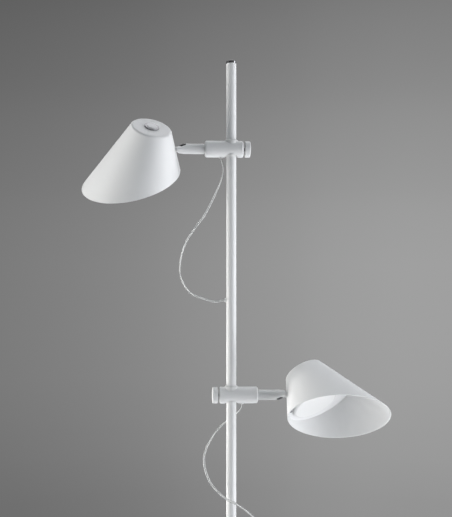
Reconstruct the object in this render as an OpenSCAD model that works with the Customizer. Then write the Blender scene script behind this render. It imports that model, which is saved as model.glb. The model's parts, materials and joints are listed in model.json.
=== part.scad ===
// Floor lamp with two reading heads.  Each head is a slanted cone shade on a stalk.  The stalk swivels
// in a round clamp that turns and slides on one upright pole and is locked by a disc knob.
// +Z is up and the origin is on the floor under the pole.  The upper head points to -X.

/* [Pole] */
// Height from the floor to the top of the pole cap
lamp_height = 1500; // [1400:1:1700]
// Outside diameter of the pole
pole_d = 16; // [14:0.5:18]
// Wall of the pole tube
pole_wall = 1.5; // [1:0.1:2]
// Height of the joint between the two pole sections
pole_joint_z = 793; // [600:1:840]
// Length of the sleeve inside the pole joint
pole_joint_len = 60; // [30:1:100]
// Height of the visible head of the pole cap
cap_head = 4.5; // [3:0.1:8]
// Length of the cap's plug inside the pole
cap_plug = 12; // [6:0.5:30]
// Rounded edge of the pole cap
cap_round = 1.4; // [0.5:0.1:2]

/* [Base] */
// Diameter of the base cover
base_d = 280; // [240:1:320]
// Height of the base cover above the floor
base_h = 18; // [17:0.5:30]
// Rounded top edge of the base cover
base_round = 6; // [3:0.5:8]
// Sheet thickness of the base cover
base_sheet = 1.5; // [1:0.1:2.5]
// Thickness of the pad under the weight
base_pad_t = 2.5; // [1.5:0.1:4]
// Gap between the weight and the cover's side
base_side_gap = 6; // [3:0.5:10]
// Diameter of the collar round the foot of the pole
collar_d = 32; // [26:0.5:40]
// Height of the collar above the base cover
collar_h = 9; // [5:0.5:20]
// Diameter of the hollow bolt that holds the pole
bolt_d = 10; // [9:0.1:10.5]
// Bore of that bolt, for the lead
bolt_bore = 6; // [4:0.1:7]
// Diameter of the head of that bolt
bolt_head_d = 18; // [15:0.5:24]
// Diameter of the hole for the lead's outlet in the base cover
outlet_d = 9.4; // [8.8:0.1:10]
// Wall of the outlet's bush
outlet_wall = 1.2; // [0.8:0.1:1.6]

/* [Clamps] */
// Height of the upper clamp's axis
upper_z = 1358; // [1330:1:1380]
// Height of the lower clamp's axis
lower_z = 963; // [900:1:980]
// Turn of the upper clamp about the pole
upper_turn = 4.5; // [-10:0.1:10]
// Turn of the lower clamp about the pole
lower_turn = 2.6; // [-10:0.1:10]
// Diameter of the clamp body
clamp_d = 26.7; // [26:0.1:30]
// Distance from the pole's axis to the knob end of the clamp body
clamp_back = 19.4; // [18:0.1:24]
// Distance from the pole's axis to the stalk end of the clamp body
clamp_front = 42.5; // [38:0.1:50]
// Rounded edges of the clamp body
clamp_round = 3; // [1:0.1:4]
// Diameter of the slide bush that the clamp turns on
bush_d = 22.5; // [21:0.1:23]
// Height of the bush's collar above the clamp body
bush_rise = 2.1; // [1.5:0.1:5]
// Diameter of the top of the bush's collar
bush_top_d = 17.6; // [17.2:0.1:20]
// Depth of the groove round the bush
groove_depth = 1.2; // [0.8:0.05:1.5]
// Radial play between the pole and the bush
slide_play = 0.08; // [0.05:0.01:0.09]
// Radial play of the turning fits
turn_play = 0.05; // [0.02:0.01:0.08]

/* [Knobs] */
// Diameter of the clamp knob
knob_d = 26; // [20:0.5:30]
// Thickness of the clamp knob
knob_t = 9.4; // [6:0.1:14]
// Gap between the clamp body and its knob
knob_gap = 2.5; // [1.5:0.1:5]
// Height of the dome on the knob's face
knob_dome = 1; // [0.4:0.1:2]
// Rounded edge of the knob
knob_round = 1.5; // [0.5:0.1:3]
// Diameter of the clamp screw
screw_d = 5; // [4:0.1:5.5]
// Diameter of the pressure pad
pad_d = 8; // [7:0.1:9]
// Gap between the pressure pad and the groove
pad_gap = 0.3; // [0.2:0.05:0.5]
// Travel of the pad when the knob is let go
pad_travel = 0.6; // [0.3:0.05:0.7]

/* [Stalks] */
// Diameter of the stalk
stalk_d = 16.4; // [15:0.1:17]
// Bore of the stalk for its wires
stalk_bore = 8.6; // [6:0.1:9]
// Width of the groove between the clamp's end and the stalk's shoulder
shoulder_gap = 1.2; // [0.6:0.1:2]
// Depth of that groove
shoulder_depth = 1.4; // [0.5:0.1:2]
// Distance from the pole's axis to the tilt pin
pin_x = 82; // [78:0.5:100]
// Distance from the tilt pin back to the bottom of the fork's slot
slot_depth = 9; // [8:0.1:11]
// Width of the fork's slot
slot_w = 5.4; // [4:0.1:6]
// Radius of the round ear's end
ear_r = 5; // [4.4:0.1:6.8]
// Radius of the flat ear's end
flat_ear_r = 3.8; // [3.4:0.1:4.6]
// Thickness of the flat ear
flat_ear_t = 2; // [1.5:0.1:3]
// Thickness of the black cheeks on each side of the tongue
cheek_t = 0.6; // [0.4:0.05:0.8]
// Diameter of the tilt pin
pin_d = 4; // [3:0.1:4.5]
// Swivel of the upper stalk in its clamp
upper_swivel = -34.6; // [-60:0.1:60]
// Swivel of the lower stalk in its clamp
lower_swivel = -37.6; // [-60:0.1:60]
// Tilt of the upper shade on its fork
upper_tilt = -11.8; // [-30:0.1:30]
// Tilt of the lower shade on its fork
lower_tilt = -21.9; // [-30:0.1:30]

/* [Shades] */
// Radius of the shade's flat top, measured to the sharp corner
top_r = 31.7; // [29:0.1:36]
// Slope of the shade's side from its own axis
cone_angle = 24; // [20:0.5:27]
// Depth of the shade along its axis
shade_depth = 91; // [84:0.5:110]
// Slant of the open end
cut_angle = 23.7; // [15:0.1:26]
// Sheet thickness of the shade
shade_t = 1.2; // [0.8:0.1:1.6]
// Rounded edge of the shade's top
top_round = 4.6; // [2:0.1:5]
// Depth of the tilt pin below the shade's top
pin_drop = 26.5; // [22:0.5:32]
// Distance from the tilt pin to the shade's side
pin_stand = 7.5; // [7.2:0.1:12]
// Radius of the tongue's round end
tongue_r = 3.8; // [3.4:0.1:5]
// Width of the bracket's foot inside the shade
foot_w = 12; // [9:0.5:16]
// Thickness of the bracket's foot
foot_t = 1.5; // [1:0.1:2]

/* [Lamps] */
// Diameter of the flat lamp
lamp_d = 75; // [70:0.5:76]
// Thickness of the flat lamp
lamp_t = 22; // [18:0.5:23]
// Depth of the lamp's face below the shade's top
lamp_face = 63.5; // [62:0.5:66]
// Distance from the shade's axis to the lamp's axis, towards the pole
lamp_offset = 10; // [6:0.5:10]
// Thickness of the white plate round the lamp
plate_t = 1.4; // [0.8:0.1:2]
// Depth of that plate's lower face below the shade's top
plate_depth = 59; // [57:0.5:60]
// Diameter of the lampholder
holder_d = 54; // [48:0.5:56]
// Thickness of the strap that carries the lampholder
strap_t = 1.5; // [1:0.1:2]
// Width of that strap
strap_w = 24; // [21:0.5:26]
// Distance between the legs of the strap
strap_span = 40; // [36:0.5:44]

/* [Switches] */
// Diameter of the switch's ring
bezel_d = 22.8; // [22:0.1:28]
// Height of the switch's ring
bezel_h = 2.4; // [1.5:0.1:4]
// Diameter of the push button
button_d = 16.6; // [14:0.1:19]
// Height of the button above its ring
button_rise = 0.8; // [0.3:0.1:2]
// Travel of the push button
button_travel = 1.5; // [0.5:0.1:1.6]
// Diameter of the switch's threaded neck
neck_d = 16; // [14:0.1:17]
// Length of the switch's threaded neck
neck_len = 14; // [11:0.5:18]

/* [Cords] */
// Diameter of each cord
cord_d = 3.4; // [3:0.1:3.8]
// Distance from the pole's axis to the cord's gland in the clamp
gland_x = 16.8; // [16.5:0.1:18]
// Diameter of that gland
gland_d = 6.4; // [5.5:0.1:6.8]
// Height of that gland below the clamp body
gland_rise = 1; // [0.5:0.1:2]
// Drop from each clamp's axis to its grommet on the pole
grommet_drop = 242.5; // [230:0.5:250]
// Diameter of the grommet where it meets the pole
grommet_d = 9.5; // [8:0.1:12]
// Height of the grommet above the pole
grommet_rise = 3.2; // [2:0.1:5]

/* [Hidden] */
$fn = 64;

lap = 1;                                    // how far a cutter runs past the face it cuts
seat = 0.05;                                // play of a piece in its seat
UPPER = 0;
LOWER = 1;

// pole
pole_r = pole_d / 2;
pole_bore = pole_d - 2 * pole_wall;
tube_top = lamp_height - cap_head;
foot_len = 30;

// base
weight_d = base_d - 2 * base_sheet - 2 * base_side_gap;
weight_top = base_h - base_sheet;
bolt_head_t = 5;
bolt_head_z = weight_top - bolt_head_t - 3;
bolt_reach = 20;
outlet_z = (1 + base_h - base_round) / 2 + 1;

// clamp
clamp_r = clamp_d / 2;
bush_r = bush_d / 2;
bush_bore = pole_d + 2 * slide_play;
bush_top = clamp_r + bush_rise;
bush_bottom = -clamp_r + 3;
groove_r = bush_r - groove_depth;
groove_w = pad_d + 0.6;
body_bore = bush_d + 2 * turn_play;
pad_front = groove_r + pad_gap;
pad_back = pad_front + 4.3;
pad_seat = pad_back + pad_travel + 0.2;
tip_d = 3;
tip_len = 1.8;
knob_in = clamp_back + knob_gap;
knob_out = knob_in + knob_t;
knob_r = knob_d / 2;
screw_grip = 6;

// stalk
stalk_r = stalk_d / 2;
stalk_in = body_bore / 2 + 10;
wire_room_d = 11;
wire_room_in = body_bore / 2 + 2;
slot_x = pin_x - slot_depth;
guide_front = pin_x - tongue_r - 0.6;
cheek_y = slot_w / 2 - seat;
tongue_t = 2 * (cheek_y - cheek_t - turn_play);
flat_y = slot_w / 2 + flat_ear_t;
thread_y = 5.6;

// shade frame: origin at the centre of the flat top, +Z out of the top, -X towards the pole
slope = tan(cone_angle);
side_t = shade_t / cos(cone_angle);         // the sheet measured square to the shade's axis
pin_shade_x = -(top_r + pin_drop * slope + pin_stand / cos(cone_angle));
wall_long = (top_r + shade_depth * slope) / (1 - tan(cut_angle) * slope);
shade_low = shade_depth + wall_long * tan(cut_angle);
lamp_r = lamp_d / 2;
lamp_top = lamp_face - lamp_t;
strap_low = 29;
tab_reach = 1;
screw_end = 1.5;                            // how far the plate's screw comes out of the bracket's tab

// switch
recess_z = 0.2;
disc_t = bezel_h + button_rise - button_travel - recess_z - 0.1;
stem_d = 8;
stem_low = -9;
neck_bore = neck_d - 3;
body_top = stem_low - button_travel - 0.5;
body_low = -24;
nut_t = 3;

// cords
gland_bore = cord_d - 0.6;
gland_face = -(clamp_r + gland_rise);
grommet_face = pole_r + grommet_rise;
cord_steps = 3;                             // rings to each stretch of the route
cord_sides = 8;

function wall_out(depth) = top_r + depth * slope;
function wall_in(depth) = wall_out(depth) - side_t;

// ---- placing ----

// puts a piece in the frame of one clamp: +X along the stalk, the pole along Z
module at_clamp(head) {
    height = head == UPPER ? upper_z : lower_z;
    heading = head == UPPER ? 180 + upper_turn : lower_turn;
    translate([0, 0, height])
        rotate([0, 0, heading])
            children();
}

// puts a piece in the frame of one stalk, whose fork is square to Y
module at_stalk(head) {
    swivel = head == UPPER ? upper_swivel : lower_swivel;
    at_clamp(head)
        rotate([swivel, 0, 0])
            children();
}

// puts a piece in the frame of one fork: the lower stalk is swivelled half a turn further
module at_fork(head) {
    half_turn = head == UPPER ? 0 : 180;
    at_stalk(head)
        rotate([half_turn, 0, 0])
            children();
}

// puts a piece in the frame of one shade
module at_shade(head) {
    tilt = head == UPPER ? upper_tilt : lower_tilt;
    at_stalk(head)
        translate([pin_x, 0, 0])
            rotate([0, tilt, 0])
                translate([-pin_shade_x, 0, pin_drop])
                    children();
}

// ---- shapes ----

// a round bar along X
module x_bar(d, from, to) {
    translate([from, 0, 0])
        rotate([0, 90, 0])
            cylinder(d = d, h = to - from);
}

// a round bar along Y
module y_bar(d, from, to) {
    translate([0, from, 0])
        rotate([-90, 0, 0])
            cylinder(d = d, h = to - from);
}

// a ring or tube along Z
module tube(outer, inner, low, high) {
    translate([0, 0, low])
        difference() {
            cylinder(d = outer, h = high - low);
            translate([0, 0, -lap])
                cylinder(d = inner, h = high - low + 2 * lap);
        }
}

// half outline of a round bar with its corners rounded at the ends that are asked for
module round_outline(r, low, high, low_round, high_round) {
    middle = (low + high) / 2;
    translate([0, low + low_round])
        square([r, high - low - low_round - high_round]);
    if (low_round > 0) {
        translate([0, low])
            square([r - low_round, middle - low]);
        translate([r - low_round, low + low_round])
            circle(low_round);
    }
    if (high_round > 0) {
        translate([0, middle])
            square([r - high_round, high - middle]);
        translate([r - high_round, high - high_round])
            circle(high_round);
    }
}

// half outline of a cone that opens downwards, with a rounded top corner
module cone_outline(corner_r, top, low, round_r) {
    inset = round_r / tan((90 + cone_angle) / 2);
    side = [cos(cone_angle), sin(cone_angle)];
    centre = [corner_r - inset, top - round_r];
    difference() {
        polygon([[0, top], [corner_r, top], [corner_r + (top - low) * slope, low], [0, low]]);
        // the corner outside the rounding
        difference() {
            polygon([
                centre,
                [centre[0], top + lap],
                [corner_r + round_r, top + lap],
                centre + (round_r + lap) * side + [round_r, 0],
                centre + (round_r + lap) * side
            ]);
            circle_at(centre, round_r);
        }
    }
}

module circle_at(centre, r) {
    translate(centre)
        circle(r);
}

// ---- base and pole ----

module base_pad() {
    color("dimgray")
        cylinder(d = weight_d - 8, h = base_pad_t);
}

// the weight has a recess for the bolt's head and a groove underneath for the lead
module base_weight() {
    color("gray")
        difference() {
            translate([0, 0, base_pad_t])
                cylinder(d = weight_d, h = weight_top - base_pad_t);
            cylinder(d = bolt_d + 0.6, h = base_h);
            cylinder(d = bolt_head_d + 1, h = bolt_head_z + bolt_head_t);
            translate([-outlet_d / 2, 0, 0])
                cube([outlet_d, weight_d, outlet_z + outlet_d / 2]);
        }
}

module base_cover() {
    inside = base_round - base_sheet;
    color("white")
        difference() {
            rotate_extrude()
                round_outline(base_d / 2, 1, base_h, 0, base_round);
            rotate_extrude()
                round_outline(base_d / 2 - base_sheet, 1 - lap, base_h - base_sheet, 0, inside);
            cylinder(d = bolt_d + 0.6, h = base_h + lap);
            translate([0, base_d / 2 - lap - base_sheet, outlet_z])
                y_bar(outlet_d, -base_sheet, base_sheet + 2 * lap);
        }
}

module base_collar() {
    edge = 1.5;
    color("white")
        difference() {
            rotate_extrude()
                round_outline(collar_d / 2, base_h, base_h + collar_h, 0, edge);
            translate([0, 0, base_h - lap])
                cylinder(d = pole_d + 2 * seat, h = collar_h + 2 * lap);
        }
}

module base_outlet() {
    inner = base_d / 2 - base_sheet;
    color("white")
        translate([0, 0, outlet_z])
            difference() {
                union() {
                    y_bar(outlet_d - 2 * seat, inner - 4, inner + base_sheet + 1.5);
                    y_bar(outlet_d + 1.6, inner - 4, inner - 1.2);
                }
                y_bar(outlet_d - 2 * outlet_wall, inner - 4 - lap, inner + base_sheet + 2 * lap);
            }
}

module pole_bolt() {
    neck_z = bolt_head_z + bolt_head_t;
    color("gray")
        difference() {
            union() {
                translate([0, 0, bolt_head_z])
                    cylinder(d = bolt_head_d, h = bolt_head_t, $fn = 6);
                translate([0, 0, neck_z - lap])
                    cylinder(d = bolt_d, h = base_h + bolt_reach - neck_z + lap);
            }
            cylinder(d = bolt_bore, h = base_h + bolt_reach + lap);
        }
}

module pole_foot() {
    color("gray")
        tube(pole_bore - 2 * seat, bolt_d + 2 * seat, base_h, base_h + foot_len);
}

module pole_section(low, high, hole_z, hole_side) {
    difference() {
        tube(pole_d, pole_bore, low, high);
        translate([0, 0, hole_z])
            x_bar(grommet_d - 3, hole_side < 0 ? -pole_d : 0, hole_side < 0 ? 0 : pole_d);
    }
}

module pole_lower() {
    color("white")
        pole_section(base_h, pole_joint_z, lower_z - grommet_drop, 1);
}

module pole_joint() {
    color("gray")
        tube(pole_bore - 2 * seat, pole_bore - 4, pole_joint_z - pole_joint_len / 2,
            pole_joint_z + pole_joint_len / 2);
}

module pole_upper() {
    color("white")
        pole_section(pole_joint_z, tube_top, upper_z - grommet_drop, -1);
}

module pole_cap() {
    color("silver") {
        rotate_extrude()
            round_outline(pole_r, tube_top, lamp_height, 0, cap_round);
        translate([0, 0, tube_top - cap_plug])
            cylinder(d = pole_bore - 2 * seat, h = cap_plug);
    }
}

// a conical grommet that stands on the pole and points to -X or +X
module grommet(head) {
    height = (head == UPPER ? upper_z : lower_z) - grommet_drop;
    neck = grommet_d - 3 - 2 * seat;
    color("white")
        translate([0, 0, height])
            rotate([0, 0, head == UPPER ? 180 : 0])
                difference() {
                    union() {
                        translate([pole_r - 2, 0, 0])
                            rotate([0, 90, 0])
                                cylinder(d1 = grommet_d, d2 = cord_d + 2, h = grommet_rise + 2);
                        x_bar(neck, pole_r - pole_wall - 1, pole_r);
                    }
                    // the head lies on the pole and only the neck goes through its wall
                    difference() {
                        cylinder(r = pole_r + 0.02, h = 3 * grommet_d, center = true);
                        x_bar(neck, 0, pole_r + lap);
                    }
                    x_bar(gland_bore, 0, grommet_face + lap);
                }
}

module upper_grommet() {
    grommet(UPPER);
}

module lower_grommet() {
    grommet(LOWER);
}

// ---- clamps ----

// the bush slides on the pole; the clamp turns on it and its pad runs in the groove
module bush(head) {
    color("gainsboro")
        at_clamp(head)
            rotate_extrude()
                difference() {
                    polygon([
                        [bush_bore / 2, bush_bottom],
                        [bush_r, bush_bottom],
                        [bush_r, bush_top - bush_rise],
                        [bush_top_d / 2, bush_top],
                        [bush_bore / 2, bush_top]
                    ]);
                    translate([groove_r, -groove_w / 2])
                        square([groove_depth + lap, groove_w]);
                }
}

module upper_bush() {
    bush(UPPER);
}

module lower_bush() {
    bush(LOWER);
}

module clamp_body(head) {
    color("white")
        at_clamp(head)
            difference() {
                rotate([0, 90, 0])
                    rotate_extrude()
                        round_outline(clamp_r, -clamp_back, clamp_front, clamp_round, clamp_round);
                cylinder(d = body_bore, h = 2 * clamp_d, center = true);
                x_bar(stalk_d + 2 * turn_play, stalk_in, clamp_front + lap);
                x_bar(wire_room_d, wire_room_in, stalk_in + lap);
                x_bar(pad_d + 2 * turn_play, -pad_seat, 0);
                x_bar(screw_d + 2 * turn_play, -clamp_back - lap, 0);
                translate([gland_x, 0, -clamp_d])
                    cylinder(d = gland_d + 2 * seat, h = clamp_d - wire_room_d / 4);
            }
}

module upper_clamp_body() {
    clamp_body(UPPER);
}

module lower_clamp_body() {
    clamp_body(LOWER);
}

// the pad is hollowed to the groove and has a socket for the screw's tip
module clamp_pad(head) {
    color("gainsboro")
        at_clamp(head)
            difference() {
                x_bar(pad_d, -pad_back, 0);
                cylinder(r = pad_front, h = 2 * pad_d, center = true);
                x_bar(tip_d + 2 * turn_play, -pad_back - lap, -pad_back + tip_len + 0.2);
            }
}

module upper_clamp_pad() {
    clamp_pad(UPPER);
}

module lower_clamp_pad() {
    clamp_pad(LOWER);
}

module clamp_screw(head) {
    color("dimgray")
        at_clamp(head) {
            x_bar(screw_d, -knob_in - screw_grip, -pad_back - seat);
            x_bar(tip_d, -pad_back - 2 * seat, -pad_back + tip_len);
        }
}

module upper_clamp_screw() {
    clamp_screw(UPPER);
}

module lower_clamp_screw() {
    clamp_screw(LOWER);
}

// a plain disc with a domed face, screwed on the clamp screw
module clamp_knob(head) {
    face_r = knob_r - knob_round;
    dome_r = (face_r * face_r + knob_dome * knob_dome) / (2 * knob_dome);
    color("white")
        at_clamp(head)
            difference() {
                rotate([0, -90, 0])
                    rotate_extrude() {
                        round_outline(knob_r, knob_in, knob_out - knob_dome, 0.8, knob_round);
                        intersection() {
                            translate([0, knob_out - dome_r])
                                circle(dome_r, $fn = 180);
                            translate([0, knob_out - knob_dome - 0.2])
                                square([face_r, knob_dome + lap]);
                        }
                    }
                x_bar(screw_d + 2 * seat, -knob_in - screw_grip - seat, -knob_in + lap);
            }
}

module upper_clamp_knob() {
    clamp_knob(UPPER);
}

module lower_clamp_knob() {
    clamp_knob(LOWER);
}

module cord_gland(head) {
    color("gainsboro")
        at_clamp(head)
            translate([gland_x, 0, 0])
                tube(gland_d, gland_bore, gland_face, gland_face + gland_rise + 6);
}

module upper_cord_gland() {
    cord_gland(UPPER);
}

module lower_cord_gland() {
    cord_gland(LOWER);
}

// ---- cords ----

function turned(p, a) = [p[0] * cos(a) - p[1] * sin(a), p[0] * sin(a) + p[1] * cos(a), p[2]];
upper_gland_point = turned([gland_x, 0, upper_z + gland_face], 180 + upper_turn);
lower_gland_point = turned([gland_x, 0, lower_z + gland_face], lower_turn);
// hand-chosen routes; only their ends are worked out, at the gland and at the grommet
upper_route = [
    upper_gland_point,
    [-13, -2, 1328], [-15.5, -3, 1310], [-25, -5, 1287], [-42, -8, 1253], [-60, -10, 1228],
    [-74.5, -11, 1203], [-81.5, -10, 1175], [-80, -9, 1151], [-66, -6, 1128], [-44, -3, 1118],
    [-25, -1, 1113],
    [-grommet_face, 0, upper_z - grommet_drop]
];
lower_route = [
    lower_gland_point,
    [10.5, 8.5, 934], [-9, 12, 918], [-25, 7, 902], [-40, 1, 877], [-43.5, -5, 854],
    [-33, -10, 824], [-10, -13.5, 801], [12, -13, 789], [36, -8, 768], [51, -4, 741],
    [36, -1, 719],
    [grommet_face, 0, lower_z - grommet_drop]
];

function unit(v) = v / norm(v);
// a point on the smooth curve from b to c, with a and d as the points before and after them
function curve_point(a, b, c, d, t) =
    0.5 * (2 * b + (c - a) * t + (2 * a - 5 * b + 4 * c - d) * t * t + (3 * b - a - 3 * c + d) * t * t * t);
// the route with a point added before and after it, so that it leaves and arrives square to its ends
function with_ends(route, leave, arrive) = concat(
    [route[1] - leave * norm(route[1] - route[0]) * 2],
    route,
    [route[len(route) - 2] + arrive * norm(route[len(route) - 1] - route[len(route) - 2]) * 2]
);
function smooth(r) = concat(
    [for (i = [1 : len(r) - 3])
        for (k = [0 : cord_steps - 1])
            curve_point(r[i - 1], r[i], r[i + 1], r[i + 2], k / cord_steps)],
    [r[len(r) - 2]]
);
function heading_at(p, i) = unit(p[min(i + 1, len(p) - 1)] - p[max(i - 1, 0)]);
// a side direction carried along the path without twist
function carried(side, h) = unit(side - h * (side * h));
function sides_along(p, first, i = 0, found = []) =
    i == len(p) ? found
    : sides_along(p, first, i + 1,
        concat(found, [carried(i == 0 ? first : found[i - 1], heading_at(p, i))]));

module cord_tube(p, leave, arrive, first) {
    last = len(p) - 1;
    heads = [for (i = [0 : last]) i == 0 ? leave : i == last ? arrive : heading_at(p, i)];
    carry = sides_along(p, first);
    rings = [for (i = [0 : last])
        let (u = carried(carry[i], heads[i]), v = cross(heads[i], u))
            for (k = [0 : cord_sides - 1])
                p[i] + cord_d / 2 * (cos(360 * k / cord_sides) * u + sin(360 * k / cord_sides) * v)];
    n = cord_sides;
    polyhedron(
        points = concat(rings, [p[0], p[last]]),
        faces = concat(
            [for (i = [0 : last - 1]) for (k = [0 : n - 1])
                [i * n + k, (i + 1) * n + k, i * n + (k + 1) % n]],
            [for (i = [0 : last - 1]) for (k = [0 : n - 1])
                [i * n + (k + 1) % n, (i + 1) * n + k, (i + 1) * n + (k + 1) % n]],
            [for (k = [0 : n - 1]) [n * (last + 1), k, (k + 1) % n]],
            [for (k = [0 : n - 1]) [n * (last + 1) + 1, last * n + (k + 1) % n, last * n + k]]
        )
    );
}

module upper_cord() {
    down = [0, 0, -1];
    inward = [1, 0, 0];
    color("silver")
        cord_tube(smooth(with_ends(upper_route, down, inward)), down, inward, [0, 1, 0]);
}

module lower_cord() {
    down = [0, 0, -1];
    inward = [-1, 0, 0];
    color("silver")
        cord_tube(smooth(with_ends(lower_route, down, inward)), down, inward, [0, 1, 0]);
}

// ---- stalks ----

// side view of one ear: the full stalk up to the slot, then tapered to a round end about the pin
module ear_outline(r) {
    corner = norm([slot_depth, stalk_r]);
    lean = atan2(stalk_r, slot_depth) + acos(r / corner);
    inside = 0.9 * r;
    touch = [pin_x - inside * cos(lean), inside * sin(lean)];
    polygon([
        [stalk_in, -stalk_r - lap], [slot_x, -stalk_r - lap], [slot_x, -stalk_r],
        [touch[0], -touch[1]], [pin_x, 0], touch,
        [slot_x, stalk_r], [slot_x, stalk_r + lap], [stalk_in, stalk_r + lap]
    ]);
    translate([pin_x, 0])
        circle(r);
}

// the stalk: a tube whose end is slotted into a fork with one round ear and one flat one
module stalk(head) {
    color("white")
        at_fork(head)
            difference() {
                intersection() {
                    x_bar(stalk_d, stalk_in + 0.3, pin_x + ear_r + lap);
                    union() {
                        rotate([90, 0, 0])
                            translate([0, 0, -stalk_r - lap])
                                linear_extrude(stalk_r + lap)
                                    ear_outline(ear_r);
                        rotate([90, 0, 0])
                            linear_extrude(stalk_r + lap)
                                ear_outline(flat_ear_r);
                    }
                }
                x_bar(stalk_bore, 0, slot_x + lap);
                shoulder_groove();
                translate([slot_x, -slot_w / 2, -stalk_d])
                    cube([2 * slot_depth + ear_r, slot_w, 2 * stalk_d]);
                flat_side();
                translate([pin_x, 0, 0])
                    y_bar(pin_d + 2 * seat, -stalk_d, thread_y);
            }
}

// the groove round the stalk where it comes out of the clamp
module shoulder_groove() {
    difference() {
        x_bar(stalk_d + 2 * lap, clamp_front, clamp_front + shoulder_gap);
        x_bar(stalk_d - 2 * shoulder_depth, clamp_front - lap, clamp_front + shoulder_gap + lap);
    }
}

// the space beside the flat ear, with a slope down to it
module flat_side() {
    out = stalk_r + lap;
    translate([0, 0, -stalk_d])
        linear_extrude(2 * stalk_d)
            polygon([
                [slot_x, -out], [slot_x + out - flat_y, -flat_y],
                [pin_x + ear_r + 2 * lap, -flat_y], [pin_x + ear_r + 2 * lap, -out]
            ]);
}

module upper_stalk() {
    stalk(UPPER);
}

module lower_stalk() {
    stalk(LOWER);
}

// the black guide in the slot: a block where the wires pass, and a thin cheek on each side of the tongue
module slot_guide(head) {
    color("#202020")
        at_fork(head)
            difference() {
                intersection() {
                    x_bar(stalk_d - 2 * seat, slot_x + seat, pin_x + flat_ear_r + lap);
                    rotate([90, 0, 0])
                        linear_extrude(2 * cheek_y, center = true)
                            ear_outline(flat_ear_r);
                }
                translate([guide_front, cheek_t - cheek_y, -stalk_d])
                    cube([2 * slot_depth, 2 * (cheek_y - cheek_t), 2 * stalk_d]);
                x_bar(3, slot_x - lap, guide_front + lap);
                translate([pin_x, 0, 0])
                    y_bar(pin_d + 2 * seat, -stalk_d, stalk_d);
            }
}

module upper_slot_guide() {
    slot_guide(UPPER);
}

module lower_slot_guide() {
    slot_guide(LOWER);
}

// the shouldered screw that the shade tilts on, with its low head on the flat ear
module pivot_screw(head) {
    head_t = 1.3;
    head_d = 5.6;
    color("dimgray")
        at_fork(head)
            translate([pin_x, 0, 0])
                difference() {
                    union() {
                        y_bar(head_d, -flat_y - head_t, -flat_y);
                        y_bar(pin_d, -flat_y - head_t / 2, thread_y - 0.3);
                    }
                    y_bar(2.5, -flat_y - head_t - lap, -flat_y - head_t / 3, $fn = 6);
                }
}

module upper_pivot_screw() {
    pivot_screw(UPPER);
}

module lower_pivot_screw() {
    pivot_screw(LOWER);
}

// ---- shades ----

// side view of the tongue: a round end about the pin and a straight shank square to the shade's side
module tongue_outline() {
    reach = pin_stand + shade_t + foot_t / 2;
    translate([pin_shade_x, -pin_drop]) {
        circle(tongue_r);
        rotate(-cone_angle)
            translate([0, -tongue_r])
                square([reach, 2 * tongue_r]);
    }
}

// the bracket: a tongue through the shade's side, a foot down its inside and a tab for the plate
module bracket(head) {
    foot_top = pin_drop - tongue_r - 3;
    foot_low = plate_depth - plate_t;
    tab_in = lamp_offset + lamp_r + tab_reach;
    color("silver")
        at_shade(head)
            difference() {
                union() {
                    rotate([90, 0, 0])
                        linear_extrude(tongue_t, center = true)
                            tongue_outline();
                    intersection() {
                        difference() {
                            inner_cone(seat);
                            inner_cone(seat + foot_t);
                        }
                        translate([-wall_long, -foot_w / 2, -foot_low])
                            cube([wall_long, foot_w, foot_low - foot_top]);
                    }
                    intersection() {
                        inner_cone(seat + foot_t / 2);
                        translate([-wall_long, -foot_w / 2, -foot_low])
                            cube([wall_long - tab_in, foot_w, foot_t]);
                    }
                }
                translate([pin_shade_x, 0, -pin_drop])
                    y_bar(pin_d + 2 * turn_play, -tongue_t, tongue_t);
                translate([-plate_screw_x(), 0, -foot_low - lap])
                    cylinder(d = 3 + 2 * seat, h = foot_t + screw_end + 2 * lap);
            }
}

// a cone that lies this far inside the shade's inner face
module inner_cone(inset) {
    step = side_t + inset / cos(cone_angle);
    translate([0, 0, -shade_low])
        cylinder(r1 = wall_out(shade_low) - step, r2 = wall_out(0) - step, h = shade_low, $fn = 96);
}

// the plate's screw stands midway between the lamp and the shade's side
function plate_screw_x() = (lamp_offset + lamp_r + wall_in(plate_depth - plate_t)) / 2;

module upper_bracket() {
    bracket(UPPER);
}

module lower_bracket() {
    bracket(LOWER);
}

// the shade: a spun cone with a flat top, cut off at a slant
module shade(head) {
    low = -shade_low - 2;
    color("white")
        at_shade(head)
            difference() {
                rotate_extrude($fn = 96)
                    difference() {
                        cone_outline(top_r, 0, low, top_round);
                        cone_outline(wall_in(0) + shade_t * slope, -shade_t, low - lap, top_round - shade_t);
                    }
                translate([0, 0, -shade_depth])
                    rotate([0, cut_angle, 0])
                        translate([-2 * wall_long, -2 * wall_long, -3 * shade_low])
                            cube([4 * wall_long, 4 * wall_long, 3 * shade_low]);
                translate([0, 0, -shade_t - lap])
                    cylinder(d = neck_d + 2 * seat, h = shade_t + 2 * lap);
                // slot for the bracket's tongue
                translate([pin_shade_x, 0, -pin_drop])
                    rotate([0, cone_angle, 0])
                        translate([tongue_r, -tongue_t / 2 - 0.2, -tongue_r - 0.2])
                            cube([pin_stand + 6, tongue_t + 0.4, 2 * tongue_r + 0.4]);
            }
}

module upper_shade() {
    shade(UPPER);
}

module lower_shade() {
    shade(LOWER);
}

// ---- switches ----

module switch_ring(head) {
    edge = 0.8;
    color("dimgray")
        at_shade(head)
            rotate_extrude()
                difference() {
                    union() {
                        round_outline(bezel_d / 2, 0, bezel_h, 0, edge);
                        translate([0, -neck_len])
                            square([neck_d / 2, neck_len]);
                    }
                    translate([0, -neck_len - lap])
                        square([neck_bore / 2, neck_len + bezel_h + 2 * lap]);
                    translate([0, recess_z])
                        square([button_d / 2 + 0.1, bezel_h + lap]);
                }
}

module upper_switch_ring() {
    switch_ring(UPPER);
}

module lower_switch_ring() {
    switch_ring(LOWER);
}

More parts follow.
